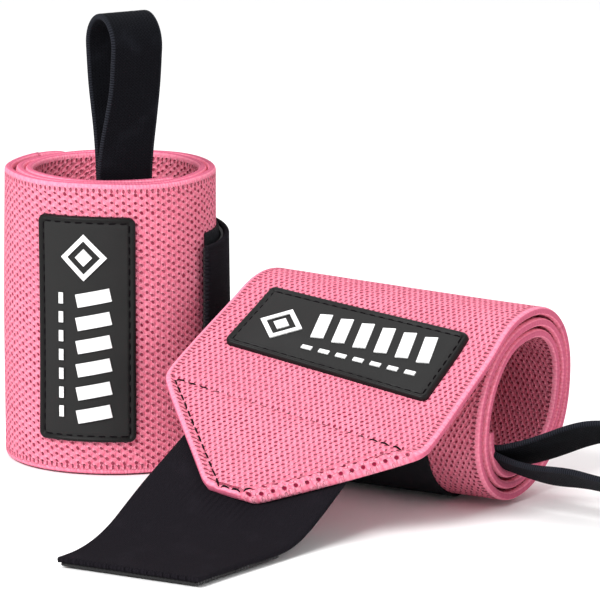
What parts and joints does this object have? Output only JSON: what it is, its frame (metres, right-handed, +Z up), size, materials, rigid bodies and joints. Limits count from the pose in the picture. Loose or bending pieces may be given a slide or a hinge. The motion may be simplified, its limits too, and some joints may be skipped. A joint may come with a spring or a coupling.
{
  "type": "wrist support wrap pair",
  "caption": "Elastic knitted wrist wraps, one rolled and standing, one rolled on its side with its pointed end and hook strap opened; thumb loops.",
  "frame": {"origin": "centre of the pair's footprint, on the surface it stands on", "axes": "+Z up; +X to the right, along the line from the standing wrap to the lying one's open end; -Y towards the tails of the straps"},
  "size_m": [0.1732, 0.1923, 0.1242],
  "materials": {
    "knit": "pink elastic knit with rows of small eyelets",
    "webbing": "black ribbed elastic webbing",
    "loop_pile": "black brushed loop pile",
    "hooks": "black moulded hook tape",
    "thread": "polyester thread",
    "label_rubber": "matt charcoal rubber",
    "emblem_white": "white rubber print"
  },
  "bodies": {
    "standing_roll": {"standing_band": "knit", "standing_loop_patch": "loop_pile", "standing_loop_tab": "webbing", "standing_loop_stitching": "thread", "standing_label": "label_rubber", "standing_label_emblem": "emblem_white", "standing_label_stitching": "thread"},
    "standing_end": {"standing_flap": "knit", "standing_strap_tab": "webbing", "standing_tip_stitching": "thread"},
    "standing_strap": {"standing_hook_strap": "webbing", "standing_hook_tape": "hooks"},
    "standing_loop": {"standing_thumb_loop": "webbing"},
    "lying_roll": {"lying_band": "knit", "lying_loop_patch": "loop_pile", "lying_loop_tab": "webbing", "lying_loop_stitching": "thread"},
    "lying_end": {"lying_flap": "knit", "lying_strap_tab": "webbing", "lying_tip_stitching": "thread", "lying_label": "label_rubber", "lying_label_emblem": "emblem_white", "lying_label_stitching": "thread"},
    "lying_strap": {"lying_hook_strap": "webbing", "lying_hook_tape": "hooks"},
    "lying_loop": {"lying_thumb_loop": "webbing"}
  },
  "joints": [
    {"name": "standing_flap_peel", "type": "hinge", "parent": "standing_roll", "child": "standing_end", "pos_m": [-0.0714, 0.09125, 0.04], "axis": [0, 0, 1], "range_deg": [0, 40]},
    {"name": "standing_strap_lift", "type": "hinge", "parent": "standing_end", "child": "standing_strap", "pos_m": [-0.03762, 0.08767, 0.04], "axis": [0, 0, 1], "range_deg": [0, 20]},
    {"name": "standing_loop_lean", "type": "hinge", "parent": "standing_roll", "child": "standing_loop", "pos_m": [-0.05405, 0.04417, 0.08], "axis": [-0.9872, -0.1595, 0], "range_deg": [0, 55], "stiffness_Nm_per_rad": 0.03},
    {"name": "lying_roll_lift", "type": "slide", "parent": "standing_roll", "child": "lying_roll", "axis": [0, 0, 1], "range_m": [0, 0.12]},
    {"name": "lying_flap_peel", "type": "hinge", "parent": "lying_roll", "child": "lying_end", "pos_m": [0.02707, 0.03556, 0.04925], "axis": [-0.8192, 0.5736, 0], "range_deg": [0, 60]},
    {"name": "lying_strap_lift", "type": "hinge", "parent": "lying_end", "child": "lying_strap", "pos_m": [-0.02822, -0.04341, 0.01105], "axis": [-0.8533, 0.4899, 0.1787], "range_deg": [0, 50]},
    {"name": "lying_loop_lean", "type": "hinge", "parent": "lying_roll", "child": "lying_loop", "pos_m": [0.0467, -0.00614, 0.01293], "axis": [-0.5075, -0.7248, 0.4659], "range_deg": [0, 55], "stiffness_Nm_per_rad": 0.03}
  ]
}
